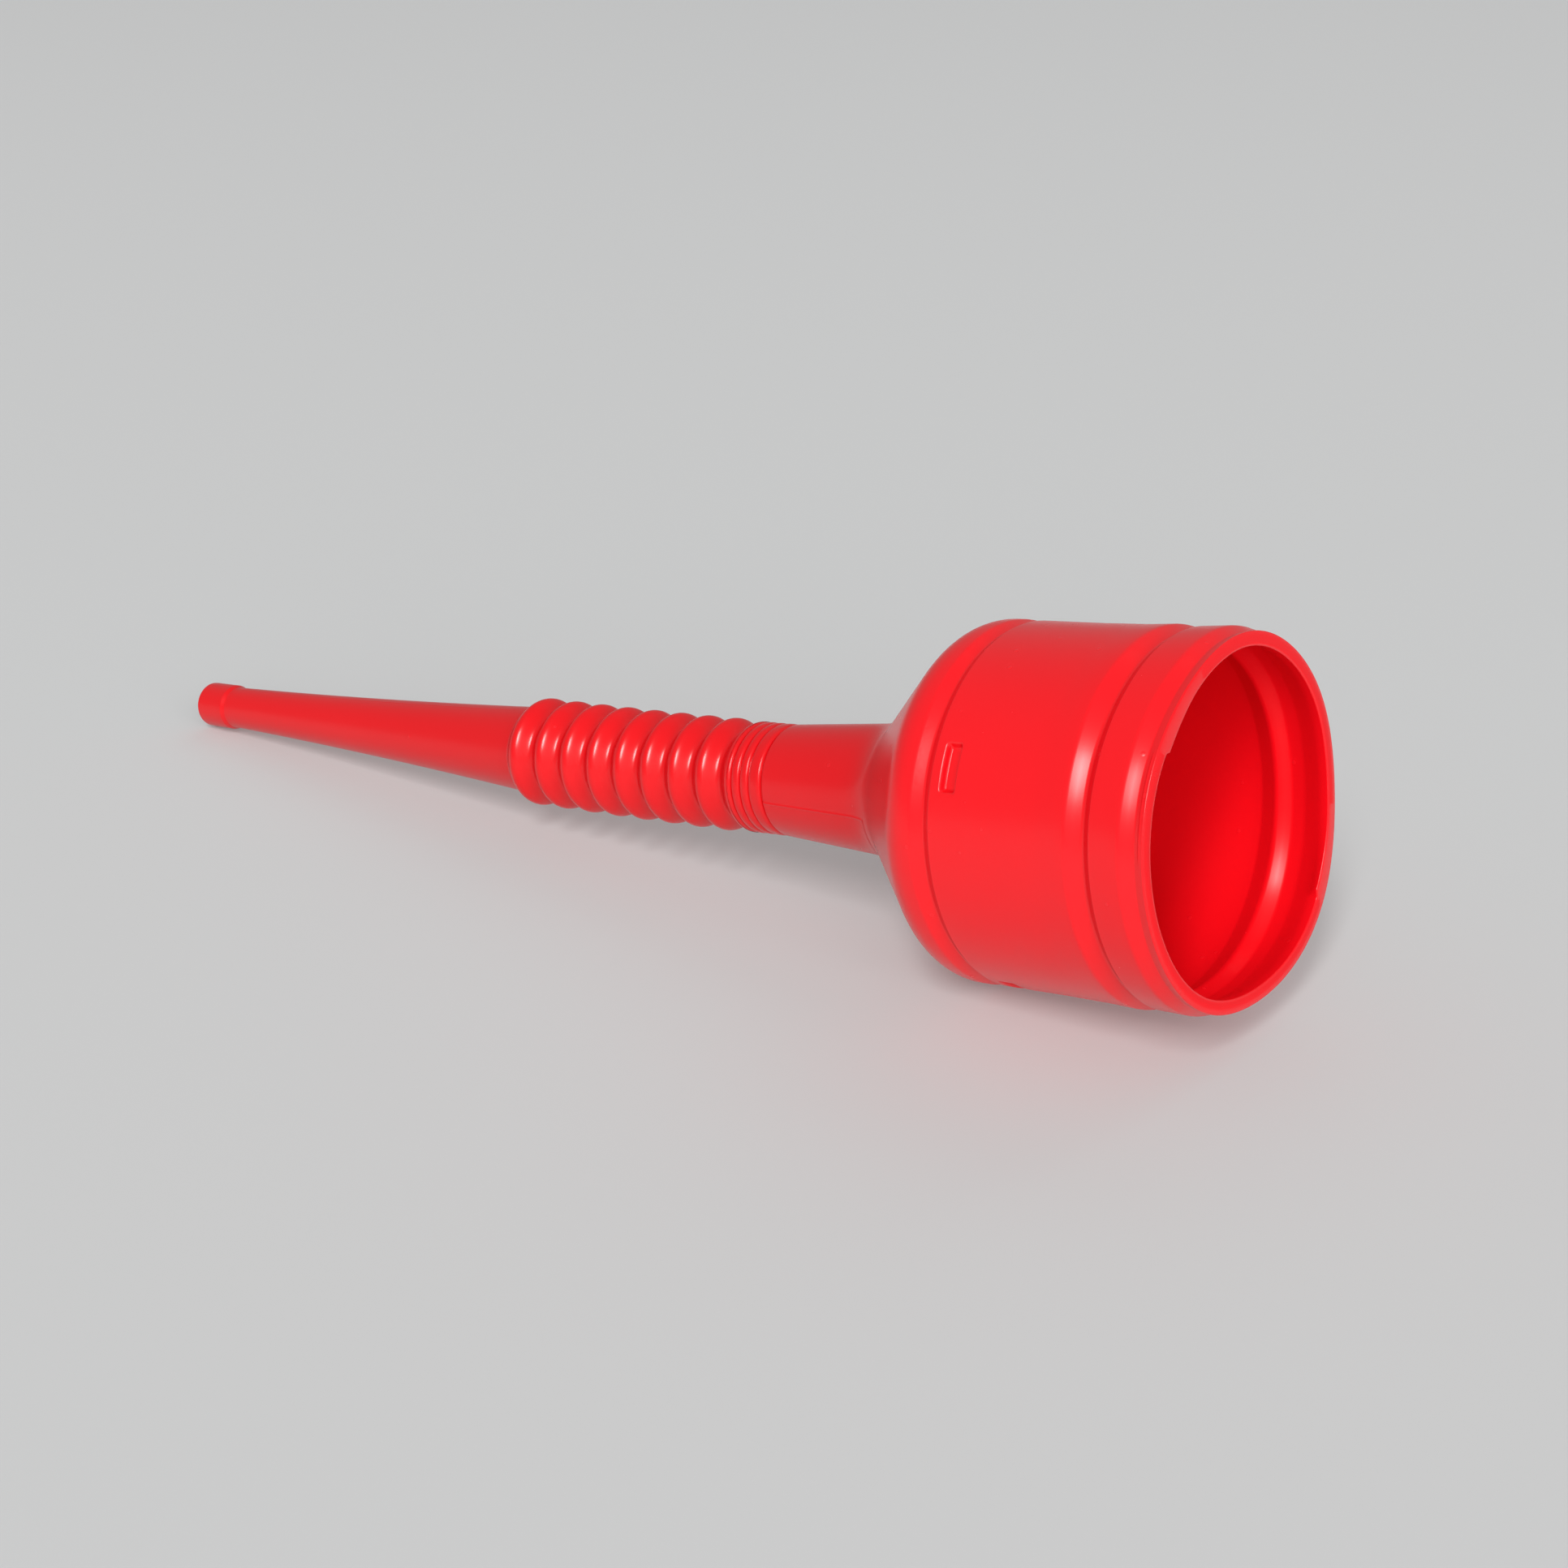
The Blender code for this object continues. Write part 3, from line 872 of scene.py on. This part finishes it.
tip_cut = CONE_END * MM
tip_slope = slope_at(nozzle_outer, tip_cut)
join_slope = slope_at(nozzle_outer, NOZZLE_JOIN)
nozzle_angles = ring_angles(NOZZLE_PARTING_TURN, SPOUT_SIDES)
nozzle_mesh = turned_shell(
    "nozzle_cone",
    nozzle_outer,
    nozzle_inner,
    nozzle_angles,
    nozzle_shape,
    [(NOZZLE_JOIN, join_slope), (tip_cut, tip_slope)],
)
nozzle = add_piece("nozzle_cone", nozzle_mesh, NOZZLE_PLASTIC, ["nozzle"])
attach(nozzle, "nozzle")
tip_mesh = turned_shell(
    "nozzle_end", tip_outer, tip_inner[:-1], nozzle_angles, nozzle_shape, [(tip_cut, tip_slope)]
)
tip = add_piece("nozzle_end", tip_mesh, NOZZLE_PLASTIC, ["nozzle_tip"])
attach(tip, "nozzle")

# %% Grow the nine folds
FOLD_RINGS = 44
for number in range(1, FOLDS + 1):
    start = FIRST_HINGE + (number - 1.5) * PITCH
    sizes = {"Start": start, "Length": PITCH, "Wall": SPOUT_WALL}
    sizes |= {"Rings": FOLD_RINGS, "Sides": SPOUT_SIDES}
    if number == 1:
        sizes["Crest before"] = COLLAR_RADIUS
    end_slope = 0.0
    if number == FOLDS:
        sizes["Crest after"] = nozzle_radius(NOZZLE_JOIN / MM) * MM
        sizes["Valley"] = nozzle_radius((start + PITCH / 2) / MM) * MM
        sizes["Straight after"] = 1.0
        end_slope = join_slope
    name = f"bellows_fold_{number}"
    fold_mesh = grown_shell(
        name, bellows_tree, SPOUT_PLASTIC, [(start, 0.0), (start + PITCH, end_slope)], **sizes
    )
    stands_for = [f"fold_{number}"] + ([f"convolution_{number}"] if number < FOLDS else [])
    fold = add_piece(name, fold_mesh, SPOUT_PLASTIC, stands_for)
    on_axis(start)
    on_axis(start + PITCH)
    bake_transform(fold)

# %% [markdown]
# ## Floor, light and camera
#
# The funnel lies on a plain pale floor. The floor lies a hair lower than the CAD model's base, because the
# finer beads stand a hair further out. It also glows faintly, which keeps the shadow on it soft. One key
# softbox makes all the highlights: its reflections run along every slope that faces it, which is what shows
# the beads and crests. Two broad softboxes, one on the camera's side and one behind, only brighten the
# plastic and make no highlights. A pale surround puts a pale edge on skin that is seen at a grazing angle.

# %% The floor
WHITE = (1.0, 1.0, 1.0, 1)
FLOOR_COLOUR = (0.45, 0.455, 0.455, 1)
FLOOR_GLOW = 0.15
FLOOR_ROUGHNESS = 0.9
FLOOR_HALF = 8.0
FLOOR_AT = -0.3 * MM
floor_mesh = bpy.data.meshes.new("floor")
corners = [(-FLOOR_HALF, -FLOOR_HALF, FLOOR_AT), (FLOOR_HALF, -FLOOR_HALF, FLOOR_AT)]
corners += [(FLOOR_HALF, FLOOR_HALF, FLOOR_AT), (-FLOOR_HALF, FLOOR_HALF, FLOOR_AT)]
floor_mesh.from_pydata(corners, [], [(0, 1, 2, 3)])
floor = bpy.data.objects.new("floor", floor_mesh)
bpy.context.scene.collection.objects.link(floor)
floor_paint = bpy.data.materials.new("pale_floor")
floor_paint.use_nodes = True
floor_shader = floor_paint.node_tree.nodes["Principled BSDF"]
floor_shader.inputs["Base Color"].default_value = FLOOR_COLOUR
floor_shader.inputs["Emission Color"].default_value = WHITE
floor_shader.inputs["Emission Strength"].default_value = FLOOR_GLOW
floor_shader.inputs["Roughness"].default_value = FLOOR_ROUGHNESS
floor_mesh.materials.append(floor_paint)
floor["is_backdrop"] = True
print("floor laid")


# %% Lights
LIGHT_DISTANCE = 30.0
LIGHT_AIM = Vector((0.05, 0.0, 0.06))
SURROUND = 0.31


def softbox(name, heading, height, size, power, glossy=True):
    """An oblong area light that looks at the funnel from a heading and height, in degrees. One that isn't
    glossy lights the plastic and makes no highlight on it."""
    light = bpy.data.lights.new(name, "AREA")
    light.shape = "RECTANGLE"
    light.size, light.size_y = size
    light.energy = power
    lamp = bpy.data.objects.new(name, light)
    lamp.visible_glossy = glossy
    bpy.context.scene.collection.objects.link(lamp)
    heading, height = math.radians(heading), math.radians(height)
    level = Vector((math.sin(heading), -math.cos(heading), 0.0))
    away = level * math.cos(height) + Vector((0.0, 0.0, math.sin(height)))
    lamp.location = LIGHT_AIM + away * LIGHT_DISTANCE
    lamp.rotation_euler = away.to_track_quat("Z", "Y").to_euler()


softbox("key_softbox", heading=24, height=40, size=(4.6, 11.5), power=5100)
softbox("fill_softbox", heading=50, height=20, size=(30.0, 18.0), power=7200, glossy=False)
softbox("back_softbox", heading=195, height=40, size=(22.0, 18.0), power=1100, glossy=False)
world = bpy.data.worlds.new("pale_room")
world.use_nodes = True
surround = world.node_tree.nodes["Background"]
surround.inputs["Color"].default_value = WHITE
surround.inputs["Strength"].default_value = SURROUND
bpy.context.scene.world = world
bpy.context.scene.view_settings.view_transform = "Standard"
print("lights set")

# %% The camera
CAMERA_AT = Vector((0.62662, -0.7305, 0.39523))
CAMERA_HEADING = math.radians(-38.011)
CAMERA_TILT = math.radians(20.785)
FOCAL_LENGTH = 65.2

camera_data = bpy.data.cameras.new("camera")
camera_data.lens = FOCAL_LENGTH
camera_data.sensor_width = 36.0
camera = bpy.data.objects.new("camera", camera_data)
bpy.context.scene.collection.objects.link(camera)
camera.location = CAMERA_AT
camera.rotation_euler = (math.pi / 2 - CAMERA_TILT, 0.0, -CAMERA_HEADING)
bpy.context.scene.camera = camera
print("camera at", [round(c, 3) for c in CAMERA_AT])

# %% Sizes and the end
bpy.context.view_layer.update()
boxes = {"cad": [list(corner) for corner in CAD_BOX], "visual": [list(corner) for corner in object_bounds()]}
for label, (low, high) in boxes.items():
    print(label, [round((b - a) / MM, 1) for a, b in zip(low, high)], "mm")
